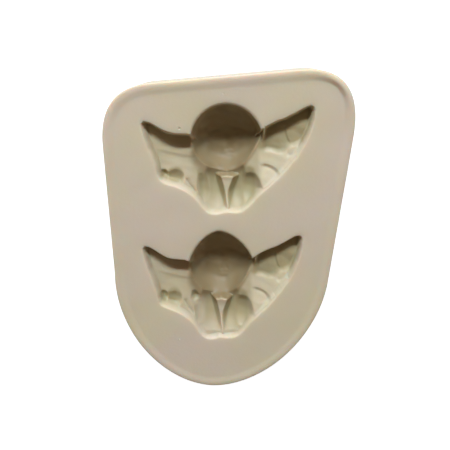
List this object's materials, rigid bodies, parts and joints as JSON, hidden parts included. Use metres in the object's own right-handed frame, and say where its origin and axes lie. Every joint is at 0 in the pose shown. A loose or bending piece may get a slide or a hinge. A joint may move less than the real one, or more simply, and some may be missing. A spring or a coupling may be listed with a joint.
{
  "type": "silicone casting mould",
  "caption": "Flat silicone rubber mould with a raised lip and open prints of a small winged cherub head, for casting soap, wax, plaster or sugar paste.",
  "frame": {"origin": "centre of the flat back, on the surface that the mould lies on", "axes": "+Z out of the open prints, square to the back; +Y along the mould's length towards the slanted end; +X across it, to the right when the slanted end points away"},
  "size_m": [0.088, 0.1292, 0.0184],
  "materials": {
    "silicone": "matte cream silicone rubber, slightly translucent"
  },
  "bodies": {
    "root": {"mould_body": "silicone"}
  },
  "joints": []
}
